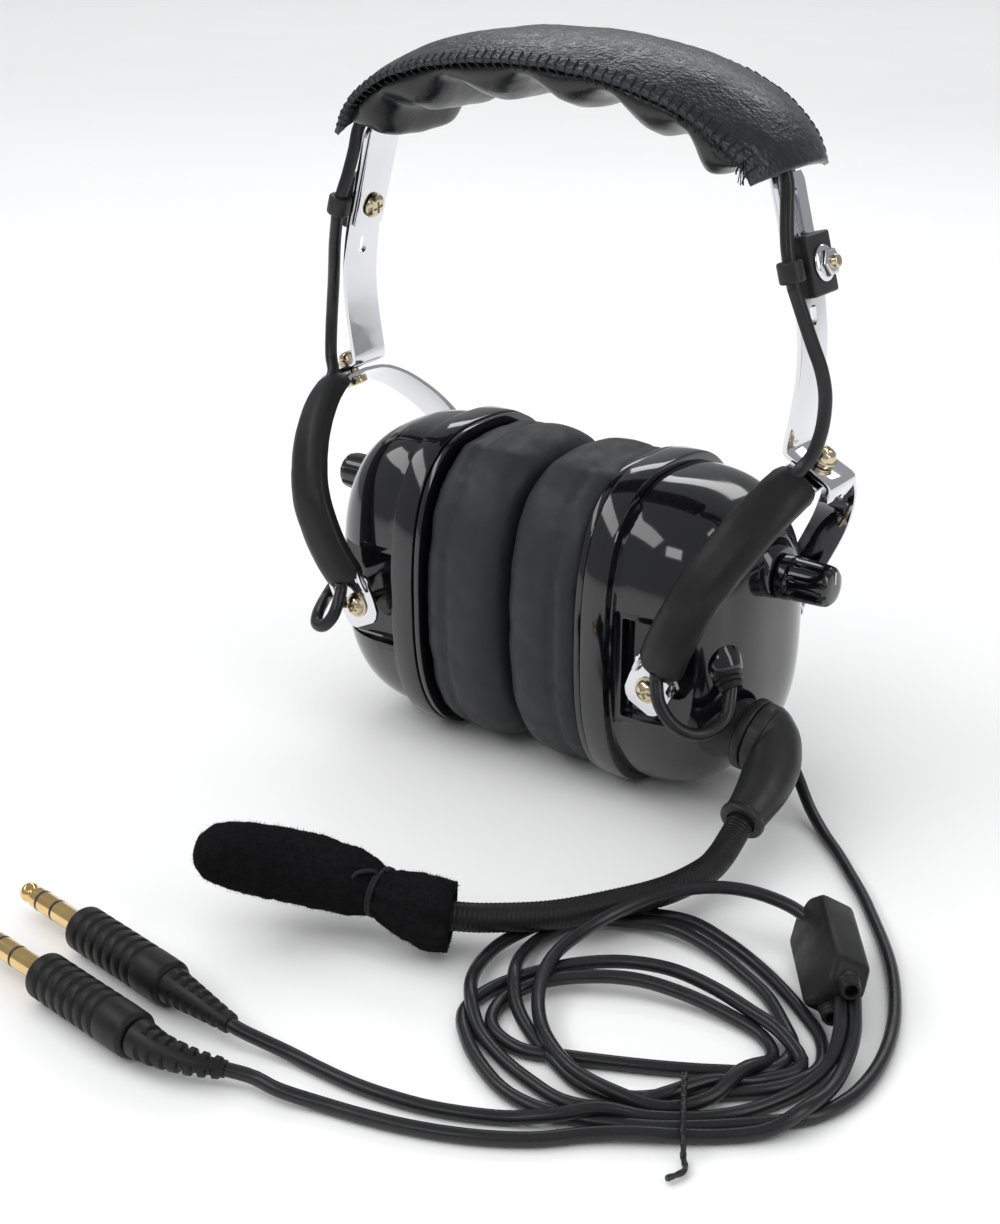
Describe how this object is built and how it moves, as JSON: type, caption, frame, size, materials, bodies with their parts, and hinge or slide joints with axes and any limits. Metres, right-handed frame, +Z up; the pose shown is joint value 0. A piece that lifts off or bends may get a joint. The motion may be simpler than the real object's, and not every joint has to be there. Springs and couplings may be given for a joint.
{
  "type": "aviation headset",
  "caption": "Over-ear aviation headset with domed cups on chrome yokes, padded headband, boom microphone with fleece cover, and a coiled cord ending in twin phone plugs.",
  "frame": {"origin": "on the table, under the middle of the headset without its cord", "axes": "+X towards the wearer's left, the side with the boom microphone; +Y towards the back of the head; +Z up"},
  "size_m": [0.2825, 0.2725, 0.2371],
  "materials": {
    "gloss_black": "high gloss moulded black",
    "matte_black": "fine textured satin black",
    "black_rubber": "smooth satin black rubber",
    "soft_vinyl": "matte stretched vinyl skin",
    "leather": "pebbled black leather",
    "cushion": "soft black pillows",
    "chrome": "mirror bright plated strip",
    "nickel": "warm nickel plated",
    "steel": "plain bright",
    "gold": "polished gold plated",
    "fleece": "short pile black fleece"
  },
  "bodies": {
    "left_cup": {"left_cup_shell": "gloss_black", "left_seal_plate": "gloss_black", "left_ear_seal": "soft_vinyl", "left_driver": "matte_black", "left_volume_pot": "steel", "left_cable_grommet": "black_rubber", "left_pivot_screw_front": "nickel", "left_pivot_screw_back": "nickel", "left_cable_loop": "black_rubber", "boom_mount": "matte_black", "boom_pivot_pin": "steel", "downlead": "black_rubber", "cord_coil": "black_rubber", "coil_tail": "black_rubber", "coil_tie": "black_rubber", "y_box": "black_rubber", "lead_a": "black_rubber", "lead_b": "black_rubber", "plug_a_pin": "gold", "plug_a_handle": "black_rubber", "plug_b_pin": "gold", "plug_b_handle": "black_rubber"},
    "left_dial": {"left_volume_knob": "gloss_black"},
    "boom": {"boom_elbow": "matte_black", "gooseneck": "black_rubber", "mic_muff": "fleece", "mic_capsule": "matte_black", "muff_tie": "fleece"},
    "left_bail": {"left_yoke": "chrome", "left_yoke_sleeve": "black_rubber"},
    "left_slider": {"left_hanger": "chrome", "left_swivel_screw": "nickel", "left_hanger_cable": "black_rubber"},
    "headband": {"headband_spring": "chrome", "pad_cover": "leather", "pad_cushion": "cushion", "headband_cable": "black_rubber", "left_clamp_block": "matte_black", "left_clamp_screw": "nickel", "left_clamp_nut": "chrome", "left_cable_guide": "matte_black", "right_clamp_block": "matte_black", "right_clamp_screw": "nickel", "right_clamp_nut": "chrome", "right_cable_guide": "matte_black"},
    "right_slider": {"right_hanger": "chrome", "right_swivel_screw": "nickel", "right_hanger_cable": "black_rubber"},
    "right_bail": {"right_yoke": "chrome", "right_yoke_sleeve": "black_rubber"},
    "right_cup": {"right_cup_shell": "gloss_black", "right_seal_plate": "gloss_black", "right_ear_seal": "soft_vinyl", "right_driver": "matte_black", "right_volume_pot": "steel", "right_cable_grommet": "black_rubber", "right_pivot_screw_front": "nickel", "right_pivot_screw_back": "nickel", "right_cable_loop": "black_rubber"},
    "right_dial": {"right_volume_knob": "gloss_black"}
  },
  "joints": [
    {"name": "left_tilt", "type": "hinge", "parent": "left_cup", "child": "left_bail", "pos_m": [0.05694, 0.06584, 0.047], "axis": [0, 1, 0], "range_deg": [-10, 10], "deforming": ["left_cable_loop", "left_ear_seal"]},
    {"name": "left_swivel", "type": "hinge", "parent": "left_bail", "child": "left_slider", "pos_m": [0.09036, 0.06584, 0.11581], "axis": [0.4369, 0, 0.8995], "range_deg": [-8, 8], "deforming": ["left_hanger_cable"]},
    {"name": "left_extend", "type": "slide", "parent": "left_slider", "child": "headband", "axis": [-0.2682, 0, 0.9634], "range_m": [0, 0.02]},
    {"name": "right_extend", "type": "slide", "parent": "headband", "child": "right_slider", "axis": [-0.2682, 0, -0.9634], "range_m": [0, 0.02]},
    {"name": "right_swivel", "type": "hinge", "parent": "right_slider", "child": "right_bail", "pos_m": [-0.09349, 0.06584, 0.11581], "axis": [-0.4369, 0, 0.8995], "range_deg": [-8, 8], "deforming": ["right_hanger_cable"]},
    {"name": "right_tilt", "type": "hinge", "parent": "right_bail", "child": "right_cup", "pos_m": [-0.06006, 0.06584, 0.047], "axis": [0, 1, 0], "range_deg": [-10, 10], "deforming": ["right_cable_loop", "right_ear_seal"]},
    {"name": "boom_swing", "type": "hinge", "parent": "left_cup", "child": "boom", "pos_m": [0.08044, 0.05044, 0.0299], "axis": [-0.9848, 0, 0.1736], "range_deg": [0, 70], "deforming": ["coil_tail"]},
    {"name": "left_volume", "type": "hinge", "parent": "left_cup", "child": "left_dial", "pos_m": [0.07864, 0.06924, 0.0764], "axis": [1, 0, 0], "range_deg": [-150, 150]},
    {"name": "right_volume", "type": "hinge", "parent": "right_cup", "child": "right_dial", "pos_m": [-0.08176, 0.06924, 0.0764], "axis": [-1, 0, 0], "range_deg": [-150, 150]}
  ]
}
